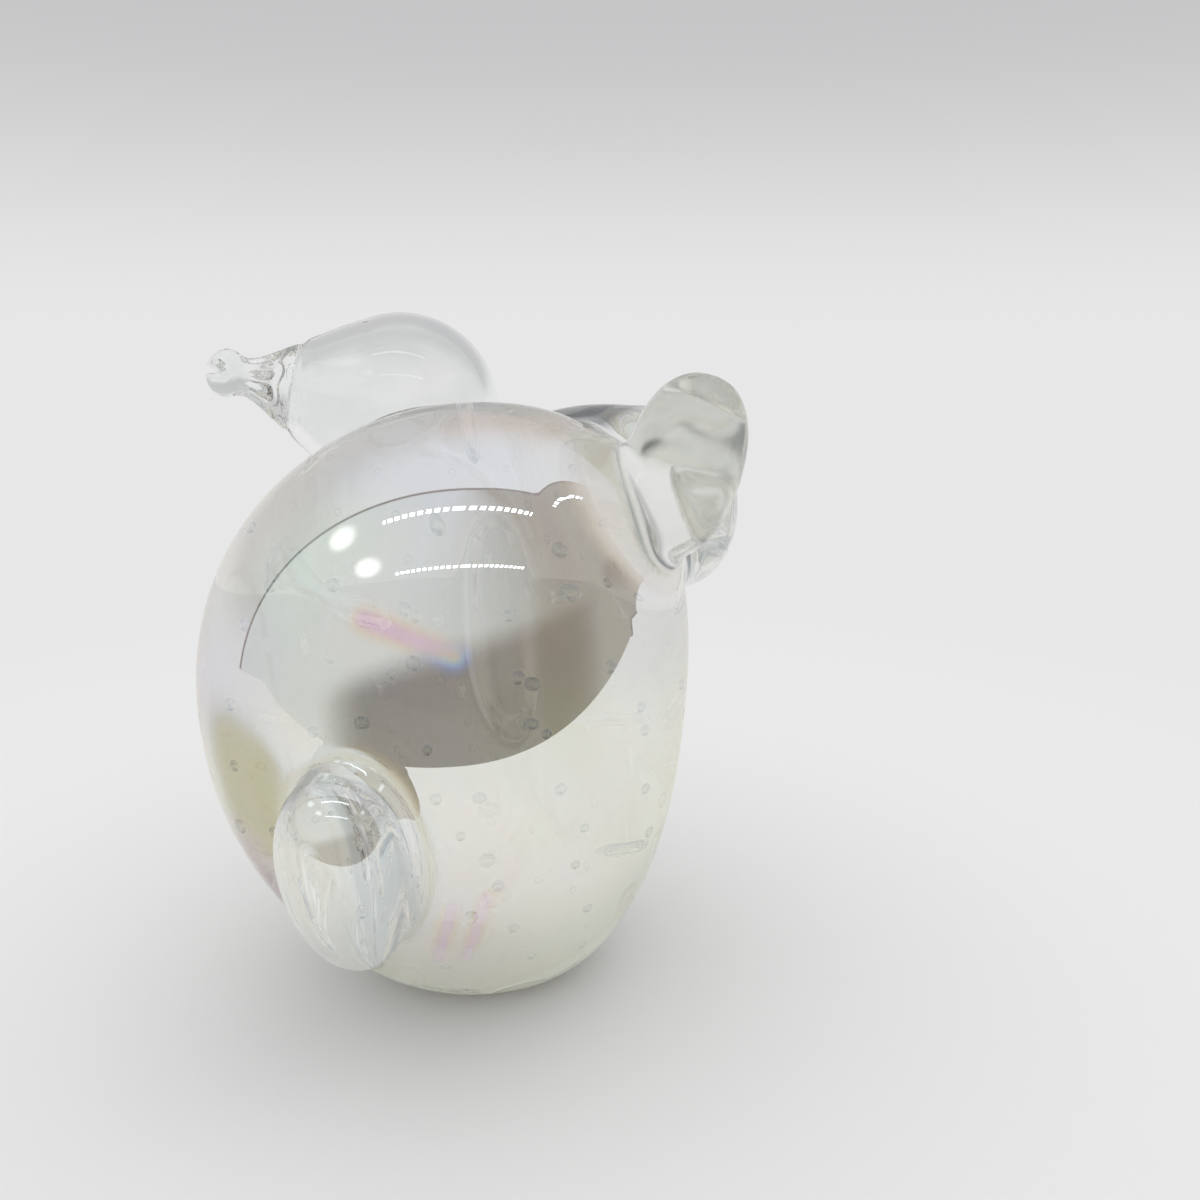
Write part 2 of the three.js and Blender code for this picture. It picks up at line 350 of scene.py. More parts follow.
@dataclass
class Head(Gather):
    """The clear head: a blown ball drawn out to a solid pinched muzzle with a nose and a mouth crease."""

    name: str = "glass_head"
    nodes: tuple[str, ...] = ("head",)
    heading: Array = pointing(0.2, -0.61, 0.77)
    stand: float = 9.3
    radius: float = 17.3
    axis: Array = pointing(0.977, 0.0, 0.215)
    axis_gap: float = 0.001
    length: float = 35.0
    neck: float = 3.3
    shoulder: float = 0.5
    shoulder_ease: float = 14.5
    neck_ease: float = 3.6
    nose_radius: float = 4.2
    nose_half_length: float = 3.4
    mouth_depth: float = 3.2
    mouth_half_gap: float = 0.5
    nose_blend: float = 1.2
    mouth_edge: float = 0.6
    ring_place: float = 19.4
    ring_width: float = 0.7
    ring_depth: float = 0.45
    flutes: int = 7
    flute_depth: float = 0.4
    flute_place: float = 24.5
    flute_spread: float = 4.0
    outline_steps: int = 400
    wall: float = 2.2
    seat_wall: float = 1.6
    air_end: float = 19.6
    air_edge: float = 1.5

    def settle(self, body: Body) -> None:
        """Sets the head on the body and draws its outline.

        Args:
            body: The body that carries the head.
        """
        self.seat = body.placed
        self.centre = body.placed.stand_off(self.heading, self.stand)
        self.outline = self.draw_outline()
        tip = self.centre + self.axis * self.length
        crease = Egg(self.nose_radius + self.nose_half_length, self.mouth_half_gap, self.mouth_depth)
        knob = Egg(self.nose_radius, self.nose_radius, self.nose_half_length)
        self.mouth = Placed(crease, tip, self.axis, UP)
        self.nose = Placed(knob, tip - self.axis * self.nose_half_length, self.axis, UP)

    def draw_outline(self) -> Array:
        """The outline of the drawn-out muzzle, from the ball's shoulder to its neck.

        Returns:
            One row of place along the axis, radius and slope for each point.
        """
        t = np.linspace(0, 1, self.outline_steps)[:, None]
        start = np.array([math.sin(self.shoulder), math.cos(self.shoulder)]) * self.radius
        flow = np.array([math.cos(self.shoulder), -math.sin(self.shoulder)])
        end = np.array([self.length - 2 * self.nose_half_length, self.neck])
        leave = start + flow * self.shoulder_ease
        arrive = end - np.array([self.neck_ease, 0])
        curve = (1 - t) ** 3 * start + 3 * t * (1 - t) ** 2 * leave
        curve = curve + 3 * t * t * (1 - t) * arrive + t ** 3 * end
        slope = np.gradient(curve[:, 1], curve[:, 0])
        return np.column_stack([curve, slope])

    def turned(self, points: Array) -> tuple[Array, Array, Array]:
        """Where points lie along the muzzle's axis, across it and round it.

        Args:
            points: One row of x, y and z for each point.

        Returns:
            Places along the axis, distances from it and angles round it.
        """
        reach = points - self.centre
        along = reach @ self.axis
        side = np.cross(self.axis, UP)
        side = side / np.linalg.norm(side)
        turn = np.arctan2(reach @ np.cross(side, self.axis), reach @ side)
        across = np.sqrt(np.maximum(np.sum(reach * reach, 1) - along ** 2, self.axis_gap ** 2))
        return along, across, turn

    def bulb(self, along: Array, across: Array, crinkle: Array | float = 0.0) -> Array:
        """Distances to the ball and the muzzle.

        Args:
            along: Places along the muzzle's axis.
            across: Distances from the axis.
            crinkle: How much wider the muzzle is at each place.

        Returns:
            The distances, negative inside.
        """
        place, radius, slope = self.outline.T
        width = np.interp(along, place, radius) + crinkle
        cone = (across - width) / np.sqrt(1 + np.interp(along, place, slope) ** 2)
        cone = np.maximum(cone, along - place[-1] - self.nose_half_length)
        return np.where(along < place[0], np.hypot(along, across) - self.radius, cone)

    def forms(self, points: Array) -> list[tuple[Array, float]]:
        """The ball, muzzle and nose as one form.

        Args:
            points: One row of x, y and z for each point.

        Returns:
            The distances to that form and how far it melts into the body.
        """
        along, across, turn = self.turned(points)
        pinch = np.exp(-((along - self.flute_place) / self.flute_spread) ** 2)
        ring = np.exp(-((along - self.ring_place) / self.ring_width) ** 2)
        crinkle = self.flute_depth * pinch * np.cos(self.flutes * turn) - self.ring_depth * ring
        form = melt(self.bulb(along, across, crinkle), self.nose.distance(points), self.nose_blend)
        return [(press(form, self.mouth.distance(points), self.mouth_edge), Joint.CRISP.value)]

    def air(self, points: Array) -> Array:
        """Distances to the air inside the blown ball, which ends at the muzzle and over the body.

        Args:
            points: One row of x, y and z for each point.

        Returns:
            One distance for each point, negative in the air.
        """
        along, across, _ = self.turned(points)
        inside = press(self.bulb(along, across) + self.wall, self.air_end - along, self.air_edge)
        return press(inside, self.seat.distance(points) - self.seat_wall, self.air_edge)


@dataclass
class LeftEar(Gather):
    """The left ear: a root from the head, a pad on the shoulder and a hollowed tongue turned up from both."""

    name: str = "glass_ear_left"
    nodes: tuple[str, ...] = ("ear_left",)
    tongue_egg: Egg = Egg(8.8, 5.6, 15.8, squareness=2.25)
    hollow_egg: Egg = Egg(4.2, 2.8, 10.4, squareness=2.25)
    hollow_aside: float = 2.0
    hollow_edge: float = 1.5
    tongue_heading: Array = pointing(-0.64, 0.31, 0.7)
    tongue_stand: float = 7.4
    tongue_tip: Array = pointing(-0.37, -0.54, 0.755)
    tongue_front: Array = pointing(-0.08, -0.79, -0.61)
    tongue_blend: float = 2.6
    root_egg: Egg = Egg(9.0, 7.5, 30.0)
    root_heading: Array = pointing(-0.56, -0.28, 0.78)
    root_stand: float = 1.2
    root_from: Spot = (-17.0, -6.0, -7.0)
    root_blend: float = 1.6
    pad_egg: Egg = Egg(11.0, 6.0, 12.0)
    pad_axis: Array = pointing(-0.44, 0.5, -0.75)
    pad_heading: Array = pointing(-0.57, 0.42, 0.71)
    pad_sink: float = 4.3
    pad_claim: float = 0.5
    darkness_gap: float = 5.0
    darkness_ease: float = 5.0
    frost_reach: float = 9.0

    def settle(self, body: Body, head: Head) -> None:
        """Lays the ear from the head over the body's shoulder.

        Args:
            body: The body that carries the ear.
            head: The head that the ear springs from.
        """
        tongue = body.placed.stand_off(self.tongue_heading, self.tongue_stand)
        root = body.placed.stand_off(self.root_heading, self.root_stand)
        pad = body.placed.stand_off(self.pad_heading, -self.pad_sink)
        root_axis = tongue - head.centre - np.array(self.root_from)
        side = np.cross(self.tongue_front, self.tongue_tip)
        pressed = tongue + self.tongue_front * self.tongue_egg.half_thickness + side * self.hollow_aside
        self.tongue = Placed(self.tongue_egg, tongue, self.tongue_tip, self.tongue_front)
        self.hollow = Placed(self.hollow_egg, pressed, self.tongue_tip, self.tongue_front)
        self.root = Placed(self.root_egg, root, root_axis, UP)
        self.pad = Placed(self.pad_egg, pad, self.pad_axis, self.pad_heading)

    def forms(self, points: Array) -> list[tuple[Array, float]]:
        """The root, the pad and the tongue."""
        tongue = press(self.tongue.distance(points), self.hollow.distance(points), self.hollow_edge)
        return [
            (self.pad.distance(points), Joint.FLOWING.value),
            (self.root.distance(points), self.root_blend),
            (tongue, self.tongue_blend),
        ]

    def distance(self, points: Array) -> Array:
        """Distances from points to the ear, which also takes the melted foot of its pad."""
        return np.minimum(super().distance(points), self.pad.distance(points) - self.pad_claim)

    def darkness(self, points: Array) -> Array:
        """How much darker the glass is tinted at points: the root is, and it clears towards the tongue and
        the pad.
        """
        other = np.minimum(self.tongue.distance(points), self.pad.distance(points))
        return np.clip((other - self.darkness_gap) / self.darkness_ease, 0, 1)

    def frost(self, points: Array) -> Array:
        """How frosty the glass is at points: the tongue is, and it clears on the root and the pad."""
        return np.clip(1 - self.tongue.distance(points) / self.frost_reach, 0, 1)


@dataclass
class RightEar(Gather):
    """The right ear: a stem from the head and a lobe laid on the shoulder behind the left ear."""

    name: str = "glass_ear_right"
    nodes: tuple[str, ...] = ("ear_right",)
    lobe_egg: Egg = Egg(13.4, 13.0, 19.5, taper=-0.26)
    lobe_heading: Array = pointing(-0.79, -0.21, 0.57)
    lobe_stand: float = 2.0
    lobe_axis: Array = pointing(-0.42, -0.64, -0.64)
    stem_egg: Egg = Egg(7.0, 6.5, 26.0)
    stem_heading: Array = pointing(-0.46, -0.66, 0.58)
    stem_stand: float = 1.6

    def settle(self, body: Body, head: Head) -> None:
        """Lays the ear from the head down the body's far shoulder.

        Args:
            body: The body that carries the ear.
            head: The head that the ear springs from.
        """
        lobe = body.placed.stand_off(self.lobe_heading, self.lobe_stand)
        stem = body.placed.stand_off(self.stem_heading, self.stem_stand)
        self.lobe = Placed(self.lobe_egg, lobe, self.lobe_axis, UP)
        self.stem = Placed(self.stem_egg, stem, lobe - head.centre, UP)

    def forms(self, points: Array) -> list[tuple[Array, float]]:
        """The stem and the lobe."""
        return [
            (self.stem.distance(points), Joint.FUSED.value),
            (self.lobe.distance(points), Joint.FUSED.value),
        ]


@dataclass
class Tail(Gather):
    """The tail: a long clear drop laid on the rump."""

    name: str = "glass_tail"
    nodes: tuple[str, ...] = ("tail",)
    coat: Coat = Coat.FAINT
    egg: Egg = Egg(8.7, 9.0, 15.6, taper=-0.12, squareness=2.2)
    heading: Array = pointing(0.36, 0.9, -0.23)
    stand: float = 1.5
    down: Array = pointing(-0.1, -0.24, -0.96)
    out: Array = pointing(0.4, 0.9, -0.18)
    collar_egg: Egg = Egg(8.6, 5.2, 14.6)
    collar_shift: Spot = (-2.0, -2.0, 1.8)
    drop_blend: float = 1.4

    def settle(self, body: Body) -> None:
        """Lays the drop on the body's rump, over the collar of its first touch.

        Args:
            body: The body that carries the tail.
        """
        centre = body.placed.stand_off(self.heading, self.stand)
        self.drop = Placed(self.egg, centre, self.down, self.out)
        self.collar = Placed(self.collar_egg, centre + np.array(self.collar_shift), self.down, self.out)

    def forms(self, points: Array) -> list[tuple[Array, float]]:
        """The collar and the drop."""
        return [
            (self.collar.distance(points), Joint.CRISP.value),
            (self.drop.distance(points), self.drop_blend),
        ]


class NodeBoard:
    """A material's or world's node tree, with short ways to add and join nodes."""

    def __init__(self, owner: bpy.types.Material | bpy.types.World) -> None:
        """Clears the owner's tree and keeps it.

        Args:
            owner: The material or world that is dressed.
        """
        owner.use_nodes = True
        self.tree = owner.node_tree
        self.tree.nodes.clear()

    def add(self, kind: str, settings: dict | None = None, **sockets: object) -> bpy.types.Node:
        """Adds a node, with its settings and its sockets' values or links.

        Args:
            kind: The node's Blender type.
            settings: The node's own properties.
            **sockets: A value or another node's output for each socket, with _ for a space in its name.

        Returns:
            The new node.
        """
        node = self.tree.nodes.new(kind)
        for name, value in (settings or {}).items():
            setattr(node, name, value)
        for name, value in sockets.items():
            self.feed(node.inputs[name.replace("_", " ")], value)
        return node

    def feed(self, socket: Socket, value: object) -> None:
        """Links an output to a socket, or sets the socket's value.

        Args:
            socket: The socket that is fed.
            value: A plain value or another node's output.
        """
        if isinstance(value, Socket):
            self.tree.links.new(value, socket)
        else:
            socket.default_value = value

    def math(self, operation: str, first: object, *others: object) -> Socket:
        """Takes values in one after another with Math nodes.

        Args:
            operation: What the nodes work out.
            first: The first value or another node's output.
            *others: What is taken in after it, or nothing where the operation needs one value.

        Returns:
            The last node's result.
        """
        result = first
        for value in others or (0.0,):
            node = self.add("ShaderNodeMath", {"operation": operation})
            self.feed(node.inputs[0], result)
            self.feed(node.inputs[1], value)
            result = node.outputs[0]
        return result

    def product(self, *factors: object) -> Socket:
        """The product of two or more values or outputs."""
        return self.math("MULTIPLY", *factors)

    def ramp(self, value: object, low: float, high: float) -> Socket:
        """Adds a smooth step.

        Args:
            value: The value or output that is stepped.
            low: Where the step is still 0.
            high: Where it has reached 1.

        Returns:
            The step's result.
        """
        node = self.add("ShaderNodeMapRange", {"interpolation_type": "SMOOTHSTEP"}, Value=value)
        node.inputs["From Min"].default_value = low
        node.inputs["From Max"].default_value = high
        return node.outputs["Result"]

    def noise(self, place: Socket, scale: float, bend: float) -> Socket:
        """Soft clouds or streaks, mostly between 0.3 and 0.7."""
        return self.add("ShaderNodeTexNoise", Vector=place, Scale=scale, Distortion=bend).outputs["Fac"]

    def shade(self, name: str) -> Socket:
        """A value that the mesh carries at each point."""
        return self.add("ShaderNodeAttribute", {"attribute_name": name}).outputs["Fac"]

    def vector(self, operation: str, first: object, second: object | None = None) -> bpy.types.NodeOutputs:
        """Adds a Vector Math node.

        Args:
            operation: What the node works out.
            first: Its first vector or another node's output.
            second: Its second vector or another node's output, if it takes one.

        Returns:
            The node's outputs.
        """
        node = self.add("ShaderNodeVectorMath", {"operation": operation})
        self.feed(node.inputs[0], first)
        if second is not None:
            self.feed(node.inputs[1], second)
        return node.outputs

    def along(self, vector: Socket, axis: Array) -> Socket:
        """How far a vector reaches along an axis."""
        return self.vector("DOT_PRODUCT", vector, tuple(axis))["Value"]

    def blend(self, share: object, first: object, second: object) -> Socket:
        """Mixes two colours.

        Args:
            share: How much of the second colour there is, from 0 to 1.
            first: The first colour or output.
            second: The second colour or output.

        Returns:
            The mixed colour.
        """
        node = self.add("ShaderNodeMix", {"data_type": "RGBA"})
        self.feed(node.inputs["Factor"], share)
        self.feed(node.inputs[6], first)
        self.feed(node.inputs[7], second)
        return node.outputs[2]

    def glass(self, tint: object, dull: object, ior: float, film: object, film_ior: float) -> None:
        """Ends the tree in clear glass under a thin film.

        Args:
            tint: The glass's colour.
            dull: Its roughness.
            ior: Its refraction.
            film: The film's thickness in nanometres.
            film_ior: The film's refraction.
        """
        shader = self.add("ShaderNodeBsdfPrincipled", Base_Color=tint, Roughness=dull, IOR=ior)
        shader.inputs["Transmission Weight"].default_value = 1.0
        shader.inputs["Thin Film IOR"].default_value = film_ior
        self.feed(shader.inputs["Thin Film Thickness"], film)
        self.add("ShaderNodeOutputMaterial", Surface=shader.outputs["BSDF"])


@dataclass(frozen=True)
class ClearGlass:
    """Fire-polished clear glass with faint drawn streaks in its tint."""

    name: str = "clear_glass"
    pale: Colour = (0.985, 0.99, 0.985, 1.0)
    deep: Colour = (0.93, 0.945, 0.935, 1.0)
    ior: float = 1.5
    frost_roughness: float = 0.16
    film: float = 0.0
    film_ior: float = 2.4
    # Near-black tint for the darkest glass, on the left ear's root
    dark_tint: Colour = (0.12, 0.13, 0.14, 1.0)
    frosty: Colour = (0.92, 0.92, 0.87, 1.0)
    streak_scale: float = 40.0
    streak_bend: float = 1.2
    streak_span: Span = (0.35, 0.7)

    def material(self) -> bpy.types.Material:
        """Makes the glass.

        Returns:
            Its node material.
        """
        made = bpy.data.materials.new(self.name)
        board = NodeBoard(made)
        place = board.add("ShaderNodeTexCoord").outputs["Object"]
        streak = board.noise(place, self.streak_scale, self.streak_bend)
        tint = board.blend(board.ramp(streak, *self.streak_span), self.pale, self.deep)
        # Darker tint where the mesh's darkness value is high, on the left ear's root
        tint = board.blend(board.shade("darkness"), tint, self.dark_tint)
        frost = board.shade("frost")
        tint = board.blend(frost, tint, self.frosty)
        dull = board.product(frost, self.frost_roughness)
        board.glass(tint, dull, self.ior, self.film, self.film_ior)
        return made


@dataclass(frozen=True)
class Blush:
    """A soft streak or patch of colour in the lustre, in millimetres and nanometres; some of them are painted
    reflection and painted glints.
    """

    start: Spot
    end: Spot
    reach: float
    tint: Colour
    film: float


# From the crown down the left side, then the middle with its pink streak, the two glints and the far sides.
# The two dark olive patches, the dark mauve one and the olive middle are painted reflection of the dark room
# in front, and the two glints are painted highlights; the others are colours of the lustre itself.
LUSTRE_TINTS_AND_PAINTED_REFLECTIONS = (
    Blush((-12.0, 12.0, 90.0), (-1.0, 15.0, 90.3), 12.0, (0.93, 0.68, 0.58, 1.0), 53.0),
    Blush((-2.0, 24.0, 86.0), (14.0, 23.0, 84.0), 13.0, (0.7, 0.77, 0.95, 1.0), 32.0),
    Blush((22.0, 28.0, 76.0), (27.0, 27.0, 68.0), 13.0, (0.74, 0.98, 0.82, 1.0), 44.0),
    Blush((32.0, 27.0, 62.0), (37.0, 20.0, 54.0), 12.0, (0.77, 0.69, 0.96, 1.0), 36.0),
    # Painted reflection: the dark olive and mauve patches on the left darken the glass where it mirrors the
    # dark room
    Blush((36.2, 24.8, 46.0), (34.8, 25.4, 36.0), 13.0, (0.46, 0.42, 0.22, 1.0), 6.0),
    Blush((31.4, 30.2, 45.0), (31.0, 28.5, 36.0), 11.0, (0.5, 0.46, 0.26, 1.0), 8.0),
    Blush((34.1, 21.4, 28.0), (30.0, 21.5, 20.0), 11.0, (0.54, 0.38, 0.42, 1.0), 12.0),
    # Painted reflection: the olive middle darkens the glass where it mirrors the tent's dark open front
    Blush((-8.0, 36.0, 53.0), (18.0, 34.0, 54.0), 14.0, (0.71, 0.73, 0.56, 1.0), 40.0),
    Blush((15.6, 35.2, 67.1), (4.4, 38.0, 62.6), 3.4, (0.98, 0.62, 0.78, 1.0), 82.0),
    # Painted highlights: the two glints, pale streaks with a thick film set where the glass shines
    Blush((5.6, 35.2, 25.5), (7.9, 30.1, 15.1), 2.2, (1.0, 0.8, 0.92, 1.0), 91.0),
    Blush((0.9, 35.5, 26.9), (3.9, 30.2, 14.8), 2.2, (1.0, 0.8, 0.92, 1.0), 91.0),
    Blush((-14.0, -33.0, 62.0), (6.0, -36.0, 58.0), 9.0, (0.94, 0.84, 0.9, 1.0), 54.0),
    Blush((-33.0, -12.0, 40.0), (-30.0, -20.0, 30.0), 10.0, (0.84, 0.82, 0.68, 1.0), 51.0),
    Blush((38.0, -12.0, 60.0), (34.0, -20.0, 70.0), 12.0, (0.85, 0.93, 0.9, 1.0), 44.0),
)


@dataclass(frozen=True)
class LustreGlass:
    """Clear glass under a thin iridescent film, cream below and a darker pearl above that is partly its own
    tone and partly painted reflection, with soft blushes of colour, some of them painted reflection and
    painted glints.
    """

    name: str = "lustre_glass"
    cream: Colour = (0.87, 0.86, 0.63, 1.0)
    # Pearl grey for the upper body, darker than the cream: partly the lustre's own tone, partly painted
    # reflection that darkens the top
    pearl_and_painted_reflection: Colour = (0.75, 0.75, 0.74, 1.0)
    rose: Colour = (0.95, 0.86, 0.9, 1.0)
    plain: Colour = (0.95, 0.95, 0.9, 1.0)
    ior: float = 1.5
    ground_roughness: float = 0.35
    ground_span: Span = (0.0008, 0.0004)
    film_ior: float = 3.3
    film_low: float = 37.0
    film_rise: float = -3.0
    film_cloud: float = 12.0
    cloud_scale: float = 24.0
    cloud_bend: float = 0.6
    swell_span: Span = (0.4, 0.75)
    rose_span: Span = (0.5, 0.75)
    pearl_span: Span = (0.034, 0.06)
    tints_and_painted_reflections: tuple[Blush, ...] = LUSTRE_TINTS_AND_PAINTED_REFLECTIONS

    def material(self) -> bpy.types.Material:
        """Makes the lustred glass, ground dull underneath.

        Returns:
            Its node material.
        """
        made = bpy.data.materials.new(self.name)
        board = NodeBoard(made)
        place = board.add("ShaderNodeTexCoord").outputs["Object"]
        cloud = board.noise(place, self.cloud_scale, self.cloud_bend)
        level = board.along(place, UP)
        height = board.ramp(level, *self.pearl_span)
        film = board.product(height, self.film_rise)
        swell = board.product(board.ramp(cloud, *self.swell_span), self.film_cloud)
        film = board.math("ADD", film, self.film_low, swell)
        # Darker towards the top: the pearl's grey is partly painted reflection
        tint = board.blend(height, self.cream, self.pearl_and_painted_reflection)
        tint = board.blend(board.ramp(cloud, *self.rose_span), tint, self.rose)
        # Each patch tints the glass and sets its film, so the dark ones paint in reflection and the glints
        # paint in highlights
        for blush in self.tints_and_painted_reflections:
            share = self.spread(board, place, blush)
            tint = board.blend(share, tint, blush.tint)
            change = board.math("SUBTRACT", blush.film, film)
            film = board.math("ADD", film, board.product(share, change))
        bare = board.shade("bare")
        tint = board.blend(bare, tint, self.plain)
        film = board.product(film, board.math("SUBTRACT", 1.0, bare))
        dull = board.product(board.ramp(level, *self.ground_span), self.ground_roughness)
        board.glass(tint, dull, self.ior, film, self.film_ior)
        return made

    def spread(self, board: NodeBoard, place: Socket, blush: Blush) -> Socket:
        """How strong a blush is at each place.

        Args:
            board: The material's nodes.
            place: The place on the object.
            blush: The streak or patch.

        Returns:
            1 along the middle of the blush, easing to 0 at its reach.
        """
        start = np.array(blush.start) * MILLIMETRE
        run = np.array(blush.end) * MILLIMETRE - start
        away = board.vector("SUBTRACT", place, tuple(start))["Vector"]
        along = board.along(away, run / (run @ run))
        along = board.math("MINIMUM", board.math("MAXIMUM", along, 0.0), 1.0)
        nearest = board.add("ShaderNodeVectorMath", {"operation": "SCALE"}, Scale=along)
        nearest.inputs[0].default_value = tuple(run)
        gap = board.vector("DISTANCE", away, nearest.outputs["Vector"])["Value"]
        return board.ramp(gap, blush.reach * MILLIMETRE, 0.0)


@dataclass(frozen=True)
class FusedJoint:
    """The inside of a fused joint, where glass meets glass and nothing shows."""

    name: str = "fused_joint"

    def material(self) -> bpy.types.Material:
        """Makes a material that light passes unchanged.

        Returns:
            The node material.
        """
        made = bpy.data.materials.new(self.name)
        board = NodeBoard(made)
        clear = board.add("ShaderNodeBsdfTransparent", Color=(1.0, 1.0, 1.0, 1.0))
        board.add("ShaderNodeOutputMaterial", Surface=clear.outputs["BSDF"])
        return made


@dataclass
class Figure:
    """The gathers melted into one skin and parted again at their joints."""

    gathers: list[Gather]
    step: float = FINE_STEP
    block: int = 4
    near_blocks: float = 1.5
    margin: float = 2.5
    foot_edge: float = 1.2
    air_edge: float = 0.3
    settle_rounds: int = 3
    settle_share: float = 0.5
    line_rounds: int = 4
    stray_steps: float = 2.0
    probe: float = 0.02

    def shares(self, points: Array) -> Array:
        """Distances from points to each gather, one row for each gather."""
        return np.array([gather.distance(points) for gather in self.gathers])

    def fused(self, points: Array) -> Array:
        """Distances from points to the whole figure.

        Args:
            points: One row of x, y and z for each point.

        Returns:
            One distance for each point, negative inside the glass.
        """
        forms = [form for gather in self.gathers for form in gather.forms(points)]
        found = forms[0][0]
        for distance, blend in forms[1:]:
            found = melt(found, distance, blend)
        for gather in self.gathers:
            found = press(found, gather.air(points), self.air_edge)
        return press(found, points[:, 2], self.foot_edge)

    def slope(self, measure: Callable[[Array], Array], points: Array) -> Array:
        """The gradient of a measure at points.

        Args:
            measure: A function from points to one value each.
            points: One row of x, y and z for each point.

        Returns:
            One row of three slopes for each point.
        """
        sides = []
        for axis in np.eye(3) * self.probe:
            sides.append((measure(points + axis) - measure(points - axis)) / (2 * self.probe))
        return np.stack(sides, 1)

    def sample(self) -> tuple[Array, Array]:
        """The fused distance on a grid that is fine only near the skin.

        Returns:
            The grid's values and the place of its first corner.
        """
        low = np.array(cad_box[0]) / MILLIMETRE - self.margin
        high = np.array(cad_box[1]) / MILLIMETRE + self.margin
        wide = self.step * self.block
        count = np.ceil((high - low) / wide).astype(int)
        coarse = np.stack(np.meshgrid(*[np.arange(n) for n in count], indexing="ij"), -1)
        middles = low + (coarse.reshape(-1, 3) + 0.5) * wide - self.step / 2
        values = self.fused(middles).reshape(count)
        for axis in range(3):
            values = values.repeat(self.block, axis)
        near = np.argwhere(np.abs(values) < wide * self.near_blocks)
        values[tuple(near.T)] = self.fused(low + near * self.step)
        return values, low

    def skin(self) -> tuple[Array, Array]:
        """The skin of the whole figure as points and four-sided faces.

        Returns:
            One row for each point, and one row of four point numbers for each face.
        """
        values, low = self.sample()
        inside = values < 0
        cells = tuple(np.array(values.shape) - 1)
        count = np.zeros(cells, int)
        for corner in np.ndindex(2, 2, 2):
            count += inside[tuple(slice(start, start + n) for start, n in zip(corner, cells))]
        active = np.argwhere((count > 0) & (count < CELL_CORNERS))
        number = np.full(cells, -1)
        number[tuple(active.T)] = np.arange(len(active))
        points = low + (active + self.crossings(values, active)) * self.step
        return points, self.quads(inside, number)

    def crossings(self, values: Array, active: Array) -> Array:
        """The middle of the places where the skin crosses the edges of each cell.

        Args:
            values: The grid's values.
            active: The first corner of each cell that the skin passes.

        Returns:
            One place for each cell, in steps from its first corner.
        """
        total = np.zeros((len(active), 3))
        hits = np.zeros(len(active))
        for corner in np.ndindex(2, 2, 2):
            for axis in range(3):
                if corner[axis]:
                    continue
                edge = np.eye(3, dtype=int)[axis]
                first = values[tuple((active + corner).T)]
                second = values[tuple((active + corner + edge).T)]
                crossed = (first < 0) != (second < 0)
                share = np.where(crossed, first / np.where(crossed, first - second, 1), 0)
                spot = np.array(corner) + np.outer(share, edge)
                total += np.where(crossed[:, None], spot, 0)
                hits += crossed
        return total / hits[:, None]

    def quads(self, inside: Array, number: Array) -> Array:
        """One face round each edge of the grid that the skin crosses.

        Args:
            inside: Whether each point of the grid lies inside.
            number: The number of each cell's point.

        Returns:
            One row of four point numbers for each face, turned outward.
        """
        faces = []
        for axis in range(3):
            beside, above = np.roll(np.eye(3, dtype=int), -axis, 0)[1:]
            changed = np.argwhere(inside != np.roll(inside, -1, axis))
            ring = [changed - beside - above, changed - above, changed, changed - beside]
            quads = np.stack([number[tuple(cell.T)] for cell in ring], 1)
            falling = ~inside[tuple(changed.T)]
            quads[falling] = quads[falling][:, ::-1]
            faces.append(quads)
        return np.concatenate(faces)

    def settle(self, points: Array, faces: Array) -> Array:
        """Evens out the skin's points and sets them on the fused surface.

        Args:
            points: The skin's points.
            faces: The skin's faces.

        Returns:
            The settled points.
        """
        ends = np.concatenate([faces[:, [i, (i + 1) % 4]] for i in range(4)])
        for _ in range(self.settle_rounds):
            total = np.zeros_like(points)
            hits = np.zeros(len(points))
            for a, b in ((0, 1), (1, 0)):
                np.add.at(total, ends[:, a], points[ends[:, b]])
                np.add.at(hits, ends[:, a], 1)
            points = (1 - self.settle_share) * points + self.settle_share * total / hits[:, None]
            points = self.drop(points)
        return self.drop(points)

    def drop(self, points: Array) -> Array:
        """Moves points straight onto the fused surface.

        Args:
            points: Points near the surface.

        Returns:
            The moved points.
        """
        slope = self.slope(self.fused, points)
        fall = self.fused(points) / np.maximum(np.sum(slope * slope, 1), LEAST_SLOPE)
        return points - slope * fall[:, None]

    def part(self, points: Array, faces: Array) -> tuple[Array, Array]:
        """Gives each face to its nearest gather and straightens the lines between gathers.

        Args:
            points: The skin's points.
            faces: The skin's faces.

        Returns:
            The points with those on the lines moved, and one gather number for each face.
        """
        owner = np.argmin(self.shares(points[faces].mean(1)), 0)
        least = np.full(len(points), len(self.gathers))
        most = np.full(len(points), -1)
        for corner in range(4):
            np.minimum.at(least, faces[:, corner], owner)
            np.maximum.at(most, faces[:, corner], owner)
        points = points.copy()
        for a in range(len(self.gathers)):
            for b in range(a + 1, len(self.gathers)):
                border = np.flatnonzero((least == a) & (most == b))
                if len(border):
                    points[border] = self.line_up(points[border], a, b)
        return points, owner

    def line_up(self, points: Array, a: int, b: int) -> Array:
        """Moves points onto the line on the skin that is as far from one gather as from another.

        Args:
            points: Points of the skin near that line.
            a: The first gather's number.
            b: The second gather's number.

        Returns:
            The moved points, with those that strayed put back.
        """
        def lead(spots: Array) -> Array:
            """How much nearer the first gather is."""
            return self.gathers[a].distance(spots) - self.gathers[b].distance(spots)

